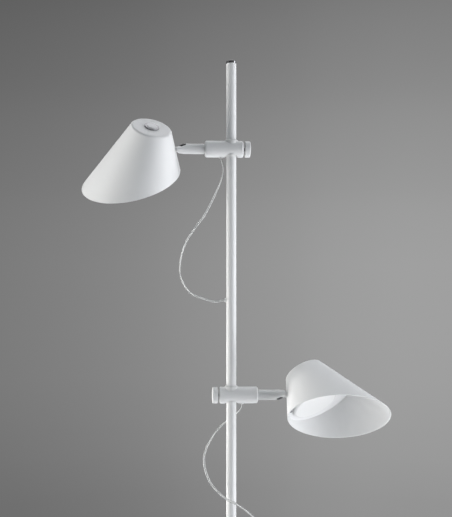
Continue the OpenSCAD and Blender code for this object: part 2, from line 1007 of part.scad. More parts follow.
module switch_button(head) {
    top = bezel_h + button_rise;
    color("whitesmoke")
        at_shade(head) {
            rotate_extrude()
                round_outline(button_d / 2, top - disc_t, top, 0, 0.6);
            translate([0, 0, stem_low])
                cylinder(d = stem_d, h = top - disc_t - stem_low);
        }
}

module upper_switch_button() {
    switch_button(UPPER);
}

module lower_switch_button() {
    switch_button(LOWER);
}

module switch_body(head) {
    color("#303030")
        at_shade(head) {
            translate([0, 0, -neck_len])
                cylinder(d = neck_bore - 2 * seat, h = body_top + neck_len);
            translate([0, 0, body_low])
                cylinder(d = neck_d - 1, h = -neck_len - body_low);
        }
}

module upper_switch_body() {
    switch_body(UPPER);
}

module lower_switch_body() {
    switch_body(LOWER);
}

module switch_nut(head) {
    top = -shade_t - strap_t;
    color("gray")
        at_shade(head)
            translate([0, 0, top - nut_t])
                difference() {
                    cylinder(d = neck_d + 6, h = nut_t, $fn = 6);
                    translate([0, 0, -lap])
                        cylinder(d = neck_d + 2 * seat, h = nut_t + 2 * lap);
                }
}

module upper_switch_nut() {
    switch_nut(UPPER);
}

module lower_switch_nut() {
    switch_nut(LOWER);
}

// ---- lamps ----

// the strap: held under the top by the switch's nut, with two legs down to the lampholder
module lamp_strap(head) {
    leg = strap_span / 2;
    flange = 8;
    color("silver")
        at_shade(head)
            difference() {
                rotate([90, 0, 90])
                    linear_extrude(strap_w, center = true)
                        polygon([
                            [-leg, -shade_t], [leg, -shade_t], [leg, -strap_low], [leg - flange, -strap_low],
                            [leg - flange, -strap_low + strap_t], [leg - strap_t, -strap_low + strap_t],
                            [leg - strap_t, -shade_t - strap_t], [strap_t - leg, -shade_t - strap_t],
                            [strap_t - leg, -strap_low + strap_t], [flange - leg, -strap_low + strap_t],
                            [flange - leg, -strap_low], [-leg, -strap_low]
                        ]);
                translate([0, 0, -shade_t - strap_t - lap])
                    cylinder(d = neck_d + 2 * seat, h = strap_t + 2 * lap);
            }
}

module upper_lamp_strap() {
    lamp_strap(UPPER);
}

module lower_lamp_strap() {
    lamp_strap(LOWER);
}

module lampholder(head) {
    edge = 2;
    color("whitesmoke")
        at_shade(head)
            translate([-lamp_offset, 0, 0])
                difference() {
                    rotate_extrude()
                        round_outline(holder_d / 2, -lamp_top, -strap_low, 0, edge);
                    translate([0, 0, -strap_low - 4])
                        cylinder(d = 9, h = 4 + lap);
                }
}

module upper_lampholder() {
    lampholder(UPPER);
}

module lower_lampholder() {
    lampholder(LOWER);
}

// the flat lamp: a housing with a bevelled back that turns into the lampholder
module lamp(head) {
    bevel = 5;
    face_in = 2.5;
    color("whitesmoke")
        at_shade(head)
            translate([-lamp_offset, 0, 0])
                rotate_extrude($fn = 96)
                    difference() {
                        round_outline(lamp_r, -lamp_face + 0.5, -lamp_top, 1.2, 0);
                        polygon([
                            [lamp_r - bevel - lap, -lamp_top + lap],
                            [lamp_r + lap, -lamp_top + lap],
                            [lamp_r + lap, -lamp_top - bevel - lap]
                        ]);
                        translate([0, -lamp_face])
                            square([lamp_r - face_in, 3.5]);
                    }
}

module upper_lamp() {
    lamp(UPPER);
}

module lower_lamp() {
    lamp(LOWER);
}

// the lamp's opal face, slightly proud of its housing
module lamp_face_disc(head) {
    color("white")
        at_shade(head)
            translate([-lamp_offset, 0, 0])
                rotate_extrude($fn = 96)
                    round_outline(lamp_r - 2.5 - seat, -lamp_face, -lamp_face + 3.5, 1, 0);
}

module upper_lamp_face() {
    lamp_face_disc(UPPER);
}

module lower_lamp_face() {
    lamp_face_disc(LOWER);
}

// the white plate that closes the shade round the lamp
module plate(head) {
    color("white")
        at_shade(head)
            difference() {
                translate([0, 0, -plate_depth])
                    cylinder(r = wall_in(plate_depth - plate_t) - 0.3, h = plate_t, $fn = 96);
                translate([-lamp_offset, 0, -plate_depth - lap])
                    cylinder(r = lamp_r + 0.4, h = plate_t + 2 * lap, $fn = 96);
                translate([-plate_screw_x(), 0, -plate_depth - lap])
                    cylinder(d = 3 + 2 * seat, h = plate_t + 2 * lap);
            }
}

module upper_plate() {
    plate(UPPER);
}

module lower_plate() {
    plate(LOWER);
}

module plate_screw(head) {
    head_t = 1.4;
    color("dimgray")
        at_shade(head)
            translate([-plate_screw_x(), 0, -plate_depth]) {
                translate([0, 0, -head_t])
                    rotate_extrude()
                        round_outline(2.4, 0, head_t, 0.6, 0);
                cylinder(d = 3, h = plate_t + foot_t + screw_end);
            }
}

module upper_plate_screw() {
    plate_screw(UPPER);
}

module lower_plate_screw() {
    plate_screw(LOWER);
}

base_pad();
base_weight();
base_cover();
base_collar();
base_outlet();
pole_bolt();
pole_foot();
pole_lower();
pole_joint();
pole_upper();
pole_cap();
upper_grommet();
lower_grommet();
upper_bush();
lower_bush();
upper_clamp_body();
lower_clamp_body();
upper_clamp_pad();
lower_clamp_pad();
upper_clamp_screw();
lower_clamp_screw();
upper_clamp_knob();
lower_clamp_knob();
upper_cord_gland();
lower_cord_gland();
upper_cord();
lower_cord();
upper_stalk();
lower_stalk();
upper_slot_guide();
lower_slot_guide();
upper_pivot_screw();
lower_pivot_screw();
upper_bracket();
lower_bracket();
upper_shade();
lower_shade();
upper_switch_ring();
lower_switch_ring();
upper_switch_button();
lower_switch_button();
upper_switch_body();
lower_switch_body();
upper_switch_nut();
lower_switch_nut();
upper_lamp_strap();
lower_lamp_strap();
upper_lampholder();
lower_lampholder();
upper_lamp();
lower_lamp();
upper_lamp_face();
lower_lamp_face();
upper_plate();
lower_plate();
upper_plate_screw();
lower_plate_screw();
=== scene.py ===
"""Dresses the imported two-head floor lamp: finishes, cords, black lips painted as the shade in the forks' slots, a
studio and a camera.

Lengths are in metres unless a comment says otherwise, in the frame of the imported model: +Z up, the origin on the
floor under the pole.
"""

import json
import math

import bmesh
import bpy
from bpy.props import FloatProperty, FloatVectorProperty, IntProperty, PointerProperty
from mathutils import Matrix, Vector


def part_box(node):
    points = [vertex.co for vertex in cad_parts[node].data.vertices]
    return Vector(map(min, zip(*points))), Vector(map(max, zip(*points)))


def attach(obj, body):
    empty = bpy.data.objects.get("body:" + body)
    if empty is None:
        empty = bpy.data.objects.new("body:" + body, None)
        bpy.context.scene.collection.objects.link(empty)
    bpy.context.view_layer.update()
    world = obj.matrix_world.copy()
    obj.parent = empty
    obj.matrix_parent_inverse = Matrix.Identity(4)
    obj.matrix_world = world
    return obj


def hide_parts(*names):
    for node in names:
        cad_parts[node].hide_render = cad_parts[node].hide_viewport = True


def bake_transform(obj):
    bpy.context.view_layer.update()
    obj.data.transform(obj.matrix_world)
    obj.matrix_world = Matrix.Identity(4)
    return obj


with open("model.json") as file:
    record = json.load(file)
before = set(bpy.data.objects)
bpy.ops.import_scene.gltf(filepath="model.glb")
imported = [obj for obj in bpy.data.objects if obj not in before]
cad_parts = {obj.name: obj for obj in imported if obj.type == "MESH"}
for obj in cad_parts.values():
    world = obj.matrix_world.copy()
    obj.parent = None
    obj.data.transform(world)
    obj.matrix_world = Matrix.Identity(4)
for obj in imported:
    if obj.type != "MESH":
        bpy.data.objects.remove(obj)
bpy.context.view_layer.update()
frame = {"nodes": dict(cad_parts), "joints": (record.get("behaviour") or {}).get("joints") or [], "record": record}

bl_info = {
    "name": "Two-head floor lamp",
    "version": (1, 0, 0),
    "blender": (4, 5, 0),
    "location": "View3D > Sidebar > Floor Lamp",
    "description": "Finishes, cords, small parts and a studio for a two-head floor lamp",
    "category": "Object",
}

HEADS = ("upper", "lower")
MM = 0.001


# ---- sizes and colours ----


def length(name, description, default):
    return FloatProperty(name=name, description=description, default=default, min=0.0, unit="LENGTH", precision=5)


def colour(name, description, default):
    return FloatVectorProperty(
        name=name, description=description, default=default, subtype="COLOR", size=3, min=0.0, max=1.0)


def number(name, description, default):
    return FloatProperty(name=name, description=description, default=default, min=0.0)


class LampPaint(bpy.types.PropertyGroup):
    """Colours and grain of the finishes."""

    white: colour("White paint", "Powder coat on the pole, clamps, stalks and shades", (0.83, 0.83, 0.825))
    plate: colour("Plate paint", "Paint of the plate inside each shade", (0.86, 0.86, 0.86))
    cap: colour("Cap metal", "Polished metal of the pole's cap", (0.24, 0.24, 0.25))
    ring: colour("Ring metal", "Metal of the switch rings and screws", (0.33, 0.33, 0.34))
    steel: colour("Plain steel", "Bare steel of the inner fittings", (0.64, 0.64, 0.65))
    plastic: colour("White plastic", "Bushes, grommets and lampholders", (0.78, 0.78, 0.77))
    button: colour("Button plastic", "Push buttons", (0.7, 0.7, 0.71))
    black: colour("Black nylon", "Slot guides and switch bodies", (0.018, 0.018, 0.019))
    opal: colour("Opal plastic", "Faces of the flat lamps", (0.88, 0.88, 0.87))
    iron: colour("Base weight", "Cast weight in the base", (0.05, 0.05, 0.052))
    rubber: colour("Rubber", "Pad under the base", (0.02, 0.02, 0.02))
    grain: length("Paint grain", "Size of the powder coat's fine texture", 0.0006)


class LampShadeLip(bpy.types.PropertyGroup):
    """Sizes of the black lips over the flat ears of the forks: painted shade for the forks' slots, next to the real
    black guides.
    """

    lip: length("Lip", "How far the lip stands over the ear", 0.0003)
    steps: IntProperty(name="Rings", description="Rings of the lip along its slope", default=8, min=2)


class LampCord(bpy.types.PropertyGroup):
    """Sizes of the cords between the clamps and the pole."""

    diameter: length("Diameter", "Outside of the clear sheath", 0.0034)
    strand: length("Strand", "Diameter of each stranded conductor", 0.00115)
    apart: length("Apart", "Distance between the two conductors", 0.0019)
    pitch: length("Pitch", "Length in which the two conductors go once round each other", 0.42)
    steps: IntProperty(name="Rings", description="Rings of the tube to each stretch of its route", default=12, min=4)
    sides: IntProperty(name="Sides", description="Sides of the tube", default=24, min=8)
    tin: colour("Tinned wire", "Colour of the conductors", (0.98, 0.98, 0.96))


class LampStudio(bpy.types.PropertyGroup):
    """The camera and the floor."""

    distance: length("Camera distance", "From the lens to the pole", 1.3)
    height: length("Camera height", "Height of the lens above the floor", 1.1688)
    across: FloatProperty(name="Camera offset", description="The lens's place to the right of the pole",
                          default=-0.00844, unit="LENGTH", precision=5)
    focal: number("Focal length", "Focal length in millimetres for a sensor 36 mm tall", 56.3)
    rise: number("Shift", "Upward shift of the picture as a share of its height", 0.01644)
    floor: colour("Floor", "Colour of the floor", (0.62, 0.62, 0.62))


GROUPS = {
    "lamp_paint": LampPaint,
    "lamp_guide": LampShadeLip,
    "lamp_cord": LampCord,
    "lamp_studio": LampStudio,
}


# ---- materials ----


# most of a noise texture's values lie between these
NOISE_SPAN = (0.35, 0.65)


def new_material(name):
    material = bpy.data.materials.new(name)
    material.use_nodes = True
    return material


class Nodes:
    """Adds nodes to a material. Their patterns lie in the frame of the piece, so they don't slide over it."""

    def __init__(self, material):
        self.material = material
        self.tree = material.node_tree
        self.place = self.node("ShaderNodeTexCoord").outputs["Object"]

    def node(self, kind, **values):
        made = self.tree.nodes.new(kind)
        for name, value in values.items():
            setattr(made, name, value)
        return made

    def link(self, source, target):
        self.tree.links.new(source, target)

    def ranged(self, value, start, end, low=0.0, high=1.0, interpolation="LINEAR"):
        """Goes from low to high as the value goes from start to end."""
        made = self.node("ShaderNodeMapRange", interpolation_type=interpolation)
        for socket, limit in (("From Min", start), ("From Max", end), ("To Min", low), ("To Max", high)):
            made.inputs[socket].default_value = limit
        self.link(value, made.inputs["Value"])
        return made.outputs["Result"]


class Finish(Nodes):
    """A material with one surface shader, varied by soft noise."""

    def __init__(self, name, base, roughness, metallic=0.0):
        super().__init__(new_material(name))
        self.shader = self.tree.nodes["Principled BSDF"]
        self.base = tuple(base)
        self.roughness = roughness
        self.set_sockets({"Base Color": (*base, 1.0), "Roughness": roughness, "Metallic": metallic})

    def set_sockets(self, values):
        for name, value in values.items():
            self.shader.inputs[name].default_value = value

    def noise(self, size, detail, roughness=0.5, squeeze=None):
        """Noise whose spots are about this size, or this many times smaller along each axis."""
        place = self.place
        if squeeze is not None:
            mapping = self.node("ShaderNodeMapping")
            mapping.inputs["Scale"].default_value = squeeze
            self.link(place, mapping.inputs["Vector"])
            place = mapping.outputs["Vector"]
        made = self.node("ShaderNodeTexNoise")
        made.inputs["Scale"].default_value = 1.0 / size
        made.inputs["Detail"].default_value = detail
        made.inputs["Roughness"].default_value = roughness
        self.link(place, made.inputs["Vector"])
        return made.outputs["Fac"]

    def bump(self, value, depth, strength):
        """Gives the surface relief of this depth."""
        made = self.node("ShaderNodeBump")
        made.inputs["Distance"].default_value = depth
        made.inputs["Strength"].default_value = strength
        self.link(value, made.inputs["Height"])
        self.link(made.outputs["Normal"], self.shader.inputs["Normal"])

    def rough(self, value, spread):
        """Varies the roughness by this much to both sides."""
        made = self.ranged(value, *NOISE_SPAN, self.roughness - spread, self.roughness + spread)
        self.link(made, self.shader.inputs["Roughness"])

    def tone(self, value, darkest):
        """Varies the colour between the base and this share of it."""
        mix = self.node("ShaderNodeMix", data_type="RGBA")
        mix.inputs["A"].default_value = (*[c * darkest for c in self.base], 1.0)
        mix.inputs["B"].default_value = (*self.base, 1.0)
        self.link(self.ranged(value, *NOISE_SPAN), mix.inputs["Factor"])
        self.link(mix.outputs["Result"], self.shader.inputs["Base Color"])


def powder_coat(name, base, roughness=0.5):
    """Matte paint with a fine pebbled skin and a slow wave in its thickness."""
    grain = bpy.context.scene.lamp_paint.grain
    made = Finish(name, base, roughness)
    made.bump(made.noise(size=grain, detail=3.0, roughness=0.6), depth=0.000003, strength=0.3)
    made.rough(made.noise(size=0.03, detail=3.0), spread=0.01)
    made.tone(made.noise(size=0.06, detail=2.0), darkest=0.985)
    made.set_sockets({"Coat Weight": 0.06, "Coat Roughness": 0.35})
    return made.material


def moulded_plastic(name, base, roughness):
    """Plastic with a fine spark-eroded skin."""
    made = Finish(name, base, roughness)
    made.bump(made.noise(size=0.0006, detail=2.0), depth=0.000012, strength=0.5)
    made.rough(made.noise(size=0.012, detail=3.0), spread=0.04)
    made.tone(made.noise(size=0.02, detail=2.0), darkest=0.97)
    return made.material


def polished_metal(name, base, roughness):
    """Polished metal with faint turning lines and a few rub marks."""
    made = Finish(name, base, roughness, metallic=1.0)
    made.bump(made.noise(size=0.0006, detail=2.0, squeeze=(1, 1, 8)), depth=0.000004, strength=0.4)
    made.rough(made.noise(size=0.004, detail=4.0, roughness=0.7), spread=0.03)
    return made.material


def brushed_metal(name, base, roughness=0.38):
    """Drawn or turned steel with fine lines."""
    made = Finish(name, base, roughness, metallic=1.0)
    made.bump(made.noise(size=0.0012, detail=3.0, squeeze=(1, 1, 14)), depth=0.00001, strength=0.6)
    made.rough(made.noise(size=0.006, detail=4.0, roughness=0.6), spread=0.06)
    made.tone(made.noise(size=0.01, detail=3.0), darkest=0.88)
    return made.material


def cast_metal(name, base):
    """Sand-cast iron with a coarse skin."""
    made = Finish(name, base, roughness=0.72, metallic=0.6)
    made.bump(made.noise(size=0.0022, detail=6.0, roughness=0.65), depth=0.00025, strength=0.8)
    made.rough(made.noise(size=0.012, detail=4.0), spread=0.08)
    made.tone(made.noise(size=0.02, detail=4.0), darkest=0.7)
    return made.material


def soft_rubber(name, base):
    """Rubber sheet with a fine cloth-like grain."""
    made = Finish(name, base, roughness=0.86)
    made.bump(made.noise(size=0.0009, detail=5.0, roughness=0.7), depth=0.00008, strength=0.8)
    made.rough(made.noise(size=0.02, detail=3.0), spread=0.05)
    made.tone(made.noise(size=0.03, detail=3.0), darkest=0.75)
    return made.material


def opal_plastic(name, base):
    """Milky plastic that lets a little light into its surface."""
    made = Finish(name, base, roughness=0.42)
    made.bump(made.noise(size=0.0012, detail=2.0), depth=0.000015, strength=0.4)
    made.rough(made.noise(size=0.02, detail=3.0), spread=0.03)
    made.set_sockets({
        "Subsurface Weight": 0.25,
        "Subsurface Radius": (0.002, 0.002, 0.002),
        "Subsurface Scale": 1.0,
    })
    return made.material


def clear_sheath(name):
    """Clear flexible plastic: nearly unseen where it is looked at squarely, and milky along its edges."""
    made = Finish(name, (0.42, 0.425, 0.42), roughness=0.32)
    made.bump(made.noise(size=0.004, detail=2.0), depth=0.00001, strength=0.2)
    made.rough(made.noise(size=0.01, detail=3.0), spread=0.04)
    facing = made.node("ShaderNodeLayerWeight").outputs["Facing"]
    made.link(made.ranged(facing, 0.25, 0.95, low=0.08, high=0.85), made.shader.inputs["Alpha"])
    made.set_sockets({"Coat Weight": 0.1, "Coat Roughness": 0.2})
    return made.material


def tinned_wire(name, base):
    """Fine tinned strands laid round each other."""
    made = Finish(name, base, roughness=0.6)
    wave = made.node("ShaderNodeTexWave", wave_type="BANDS", bands_direction="DIAGONAL")
    wave.inputs["Scale"].default_value = 180.0
    wave.inputs["Distortion"].default_value = 1.0
    made.link(made.place, wave.inputs["Vector"])
    made.bump(wave.outputs["Fac"], depth=0.00002, strength=0.2)
    made.rough(made.noise(size=0.004, detail=3.0), spread=0.06)
    return made.material


def make_finishes():
    """The material of each of the record's slots."""
    paint = bpy.context.scene.lamp_paint
    return {
        "white_paint": powder_coat("white_powder_coat", paint.white),
        "plate_paint": powder_coat("plate_paint", paint.plate, roughness=0.55),
        "cap_metal": polished_metal("cap_metal", paint.cap, roughness=0.16),
        "weight_iron": cast_metal("cast_weight", paint.iron),
        "black_rubber": soft_rubber("rubber_pad", paint.rubber),
        "plain_steel": brushed_metal("plain_steel", paint.steel),
        "dark_steel": brushed_metal("dark_steel", paint.ring, roughness=0.3),
        "white_plastic": moulded_plastic("white_plastic", paint.plastic, roughness=0.45),
        "black_nylon": moulded_plastic("black_nylon", paint.black, roughness=0.4),
        "button_plastic": moulded_plastic("button_plastic", paint.button, roughness=0.22),
        "opal_plastic": opal_plastic("opal_plastic", paint.opal),
        "clear_cord": tinned_wire("tinned_wire", bpy.context.scene.lamp_cord.tin),
    }


def finish_nodes(finishes):
    """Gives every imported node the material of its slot."""
    for row in frame["record"]["subparts"]:
        node = frame["nodes"][row["node"]]
        node.data.materials.clear()
        node.data.materials.append(finishes[row["material_slot"]])


# ---- meshes ----


# edges that turn by more than this stay sharp
SHARP_TURN = math.radians(35.0)


def tube(rings):
    """A closed tube from rings of points."""
    mesh = bmesh.new()
    loops = [[mesh.verts.new(p) for p in ring] for ring in rings]
    n = len(loops[0])
    for a, b in zip(loops, loops[1:]):
        for k in range(n):
            mesh.faces.new((a[k], b[k], b[(k + 1) % n], a[(k + 1) % n]))
    mesh.faces.new(loops[0])
    mesh.faces.new(reversed(loops[-1]))
    bmesh.ops.recalc_face_normals(mesh, faces=mesh.faces)
    return mesh


def piece_from(mesh, name, material):
    """A new piece of the lamp from a bmesh."""
    data = bpy.data.meshes.new(name)
    mesh.to_mesh(data)
    mesh.free()
    piece = bpy.data.objects.new(name, data)
    bpy.context.scene.collection.objects.link(piece)
    data.materials.append(material)
    return piece


def smooth_faces(data):
    for polygon in data.polygons:
        polygon.use_smooth = True


def shade_smooth(piece):
    """Smooth faces with sharp edges."""
    smooth_faces(piece.data)
    mesh = bmesh.new()
    mesh.from_mesh(piece.data)
    for edge in mesh.edges:
        edge.smooth = len(edge.link_faces) == 2 and edge.calc_face_angle(0.0) < SHARP_TURN
    mesh.to_mesh(piece.data)
    mesh.free()


# ---- guide lips: black sheets painted as the shade in the forks' slots ----


# the flat ear lies on this side of its fork, along the tilt joint's axis
FLAT_SIDE = {"upper": 1, "lower": -1}

# in millimetres: the stalk, and the slopes of its flat ear beside the pin, as (along the stalk, height) from the
# stalk's own radius down to the ear's end
STALK_RADIUS = 8.2
SLOPE = ((-9.0, STALK_RADIUS), (1.4, 3.3))

# in millimetres: where the lip lies across the fork, and how deep it sinks into the ear
LIP_INNER = 2.1
LIP_OUTER = 4.8
LIP_SINK = 0.2

LIP_ROUNDING = 0.00008
LIP_ROUNDING_STEPS = 2


def joint(name):
    return next(j for j in frame["joints"] if j["name"] == name)


def make_shade_lip(head, part, up, material):
    """A black sheet folded over one slope of the flat ear: painted shade for the dark slot, next to the real black
    guide.
    """
    sizes = bpy.context.scene.lamp_guide
    tilt = joint(head + "_tilt")
    along = Vector(joint(head + "_swivel")["axis"])
    out = Vector(tilt["axis"]) * FLAT_SIDE[head]
    rise = along.cross(out) * up
    lip = sizes.lip / MM
    corners = ((LIP_INNER, -LIP_SINK), (LIP_OUTER, -LIP_SINK), (LIP_OUTER, lip), (LIP_INNER, lip))
    (x0, z0), (x1, z1) = SLOPE
    rings = []
    for i in range(sizes.steps + 1):
        share = i / sizes.steps
        x, z = x0 + (x1 - x0) * share, z0 + (z1 - z0) * share
        ring = []
        for n, lift in corners:
            height = min(z + lift, math.sqrt(STALK_RADIUS ** 2 - n ** 2) + lift)
            ring.append(Vector(tilt["pos_m"]) + MM * (x * along + n * out + height * rise))
        rings.append(ring)
    piece = piece_from(tube(rings), f"{head}_guide_lip_{part}", material)
    rounded = piece.modifiers.new("rounded", "BEVEL")
    rounded.width = LIP_ROUNDING
    rounded.segments = LIP_ROUNDING_STEPS
    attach(piece, head + "_arm")


# ---- cords ----


# part.scad's routes in millimetres, without their first and last points, which lie at the gland and the grommet
ROUTES = {
    "upper": (
        (-13, -2, 1328), (-15.5, -3, 1310), (-25, -5, 1287), (-42, -8, 1253), (-60, -10, 1228),
        (-74.5, -11, 1203), (-81.5, -10, 1175), (-80, -9, 1151), (-66, -6, 1128), (-44, -3, 1118),
        (-25, -1, 1113),
    ),
    "lower": (
        (10.5, 8.5, 934), (-9, 12, 918), (-25, 7, 902), (-40, 1, 877), (-43.5, -5, 854),
        (-33, -10, 824), (-10, -13.5, 801), (12, -13, 789), (36, -8, 768), (51, -4, 741),
        (36, -1, 719),
    ),
}

# a cord's two halves meet at this point of its route, counted from 0 at the gland
HALVES_MEET = 4

# a cord leaves its gland downward, and enters the pole in this direction
DOWN = Vector((0, 0, -1))
INWARD = {"upper": Vector((1, 0, 0)), "lower": Vector((-1, 0, 0))}

# names of a cord's two conductors, and the angle round the cord where each starts
STRANDS = (("strand_a", 0.0), ("strand_b", math.pi))


def gland_point(head):
    """Where the cord leaves the gland under the clamp."""
    low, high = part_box(head + "_cord_gland")
    return Vector(((low.x + high.x) / 2, (low.y + high.y) / 2, low.z))


def grommet_point(head):
    """The tip of the grommet on the pole."""
    low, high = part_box(head + "_grommet")
    tip = low.x if INWARD[head].x > 0 else high.x
    return Vector((tip, (low.y + high.y) / 2, (low.z + high.z) / 2))


def curve_point(a, b, c, d, t):
    """A point between b and c on the smooth curve through all four."""
    return 0.5 * (2 * b + (c - a) * t + (2 * a - 5 * b + 4 * c - d) * t ** 2 + (3 * b - a - 3 * c + d) * t ** 3)


def smooth_route(head, steps):
    """The cord's centreline, with this many points to each stretch of its route."""
    route = [gland_point(head), *[Vector(p) * MM for p in ROUTES[head]], grommet_point(head)]
    # a point beyond each end sets the direction in which the curve starts and stops
    before = route[1] - DOWN * (route[1] - route[0]).length * 2
    after = route[-2] + INWARD[head] * (route[-1] - route[-2]).length * 2
    held = [before, *route, after]
    points = []
    for i in range(1, len(held) - 2):
        for k in range(steps):
            points.append(curve_point(*held[i - 1:i + 3], k / steps))
    points.append(route[-1])
    return points


def frames_along(points, start, end):
    """(point, side, other side) along the line, turned as little as possible from each to the next."""
    side = Vector((0, 1, 0))
    found = []
    last = len(points) - 1
    for i, point in enumerate(points):
        if i == 0:
            heading = start
        elif i == last:
            heading = end
        else:
            heading = (points[i + 1] - points[i - 1]).normalized()
        side = (side - heading * side.dot(heading)).normalized()
        found.append((point, side.copy(), heading.cross(side)))
    return found


def around(u, v, angle):
    return math.cos(angle) * u + math.sin(angle) * v


def ring_at(point, u, v, radius, sides):
    return [point + radius * around(u, v, 2 * math.pi * k / sides) for k in range(sides)]


def line_length(points):
    return sum((b - a).length for a, b in zip(points, points[1:]))


def strand_rings(run, travelled, turn, sizes):
    """Rings of a conductor that winds round the cord's middle, from this length along the cord."""
    rings = []
    before = run[0][0]
    for point, u, v in run:
        travelled += (point - before).length
        before = point
        centre = point + sizes.apart / 2 * around(u, v, turn + 2 * math.pi * travelled / sizes.pitch)
        rings.append(ring_at(centre, u, v, sizes.strand / 2, sizes.sides // 2))
    return rings


def make_cord(head, sheath, wire):
    """The cord as two halves, each a clear sheath with its two conductors."""
    sizes = bpy.context.scene.lamp_cord
    frames = frames_along(smooth_route(head, sizes.steps), DOWN, INWARD[head])
    split = HALVES_MEET * sizes.steps
    halves = (
        ("top", frames[:split + 1], head + "_clamp", head + "_slider"),
        ("bottom", frames[split:], head + "_slider", "stand"),
    )
    travelled = 0.0
    for part, run, near, far in halves:
        line = [point for point, _, _ in run]
        name = f"{head}_cord_{part}"
        rings = [ring_at(point, u, v, sizes.diameter / 2, sizes.sides) for point, u, v in run]
        cover = piece_from(tube(rings), name, sheath)
        strands = []
        for label, turn in STRANDS:
            wound = tube(strand_rings(run, travelled, turn, sizes))
            strands.append(piece_from(wound, f"{name}_{label}", wire))
        travelled += line_length(line)
        for piece in (cover, *strands):
            shade_smooth(piece)
            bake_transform(piece)
        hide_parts(head + "_cord")


# ---- studio ----


SENSOR_MM = 36.0
CLIP_NEAR = 0.05
CLIP_FAR = 50.0

WARM = (1.0, 0.985, 0.965)
COOL = (0.955, 0.965, 1.0)
PLAIN = (1.0, 0.985, 1.0)
BLUE = (0.86, 0.94, 1.0)

# name, place, width, height, watts, tint; they all face the same point
SOFTBOXES = (
    ("left_high", (-1.5, -0.2, 1.95), 0.6, 0.8, 1.0, WARM),
    ("left_middle", (-1.5, -0.2, 1.1), 0.6, 0.8, 10.4, WARM),
    ("left_low", (-1.5, -0.2, 0.5), 0.6, 0.8, 8.6, WARM),
    ("left_back", (-1.1, 0.9, 0.5), 0.6, 0.8, 7.5, WARM),
    ("left_narrow", (-1.5, 0.0, 1.0), 0.25, 1.5, 1.8, WARM),
    ("right_tall", (1.5, -0.1, 1.15), 0.6, 1.8, 14.0, COOL),
    ("right_high", (1.5, 0.0, 1.95), 0.6, 0.8, 2.6, COOL),
    ("right_low", (1.3, -0.6, 0.35), 0.9, 0.6, 12.5, COOL),
    ("right_back", (1.1, 0.9, 1.25), 0.6, 2.0, 1.8, COOL),
    ("above", (0.0, 0.0, 2.9), 1.6, 1.6, 6.4, PLAIN),
    ("above_back", (0.0, 1.2, 2.9), 1.6, 1.0, 7.0, PLAIN),
    ("below_back", (0.0, 0.9, 0.1), 1.4, 0.8, 7.2, BLUE),
)
SOFTBOX_AIM = Vector((0, 0, 1.2))
WORLD_LIGHT = 0.235

# the floor is a disc and the backdrop a round wall, both of this radius
WALL_RADIUS = 7.5
WALL_HEIGHT = 9.0
STAGE_SIDES = 96

# the backdrop's glow, painted lighter and darker as the studio's light falls off across it: a peak, and its share by
# height up the wall, by distance out on the floor and by bearing
BACKDROP_PEAK = 0.3515
BY_HEIGHT = ((0.0, 0.985), (0.06, 1.0), (0.14, 0.995), (0.22, 0.91), (0.33, 0.75), (0.45, 0.57), (1.0, 0.4))
BY_DISTANCE = ((0.0, 0.57), (0.2, 0.67), (0.33, 0.815), (0.4, 0.865), (0.5, 0.922), (0.65, 0.96), (1.0, 1.0))
BY_BEARING = ((0.0, 0.52), (0.32, 0.545), (0.45, 0.724), (0.55, 0.9), (0.61, 0.99), (0.7, 1.0), (1.0, 1.0))

# between these distances the floor's own paint fades into the backdrop's tone
FLOOR_FADE = (0.6, 1.9)


class Backdrop(Nodes):
    """Nodes that give the floor and the wall one soft grey: a glow painted lighter and darker as the studio's light
    falls off.
    """

    def __init__(self, material):
        super().__init__(material)
        parts = self.node("ShaderNodeSeparateXYZ")
        self.link(self.place, parts.inputs["Vector"])
        flat = self.node("ShaderNodeVectorMath", operation="MULTIPLY")
        flat.inputs[1].default_value = (1, 1, 0)
        self.link(self.place, flat.inputs[0])
        size = self.node("ShaderNodeVectorMath", operation="LENGTH")
        self.link(flat.outputs["Vector"], size.inputs[0])
        self.distance = size.outputs["Value"]
        self.height = parts.outputs["Z"]
        self.bearing = self.math("DIVIDE", parts.outputs["X"], self.distance)

    def math(self, operation, a, b):
        made = self.node("ShaderNodeMath", operation=operation)
        for socket, value in zip(made.inputs, (a, b)):
            if isinstance(value, bpy.types.NodeSocket):
                self.link(value, socket)
            else:
                socket.default_value = value
        return made.outputs["Value"]

    def share(self, value, stops):
        """A smooth curve through the stops, which are pairs of a value from 0 to 1 and its share."""
        ramp = self.node("ShaderNodeValToRGB")
        ramp.color_ramp.interpolation = "CARDINAL"
        for i, (at, tone) in enumerate(stops):
            stop = ramp.color_ramp.elements[i] if i < 2 else ramp.color_ramp.elements.new(at)
            stop.position = at
            stop.color = (tone, tone, tone, 1)
        self.link(value, ramp.inputs["Fac"])
        return ramp.outputs["Color"]

    def glow(self):
        """The grey as light of its own, so that the softboxes don't change it."""
        tone = self.share(self.ranged(self.height, 0.0, WALL_HEIGHT), BY_HEIGHT)
        for value, low, high, stops in (
            (self.distance, 0.0, WALL_RADIUS, BY_DISTANCE),
            (self.bearing, -1.0, 1.0, BY_BEARING),
        ):
            tone = self.math("MULTIPLY", tone, self.share(self.ranged(value, low, high), stops))
        made = self.node("ShaderNodeEmission")
        self.link(self.math("MULTIPLY", tone, BACKDROP_PEAK), made.inputs["Strength"])
        return made.outputs["Emission"]

    def seen(self):
        """1 for what the camera sees straight, in a reflection or through something clear, and 0 for other light."""
        ray = self.node("ShaderNodeLightPath").outputs
        found = self.math("MAXIMUM", ray["Is Camera Ray"], ray["Is Transmission Ray"])
        return self.math("MAXIMUM", found, ray["Is Glossy Ray"])

    def finish(self, plain, share):
        """Shows the plain shader, or the grey by this share."""
        mix = self.node("ShaderNodeMixShader")
        self.link(share, mix.inputs["Fac"])
        self.link(plain, mix.inputs[1])
        self.link(self.glow(), mix.inputs[2])
        self.link(mix.outputs["Shader"], self.tree.nodes["Material Output"].inputs["Surface"])


def rim_point(i, z):
    angle = 2 * math.pi * i / STAGE_SIDES
    return WALL_RADIUS * math.cos(angle), WALL_RADIUS * math.sin(angle), z


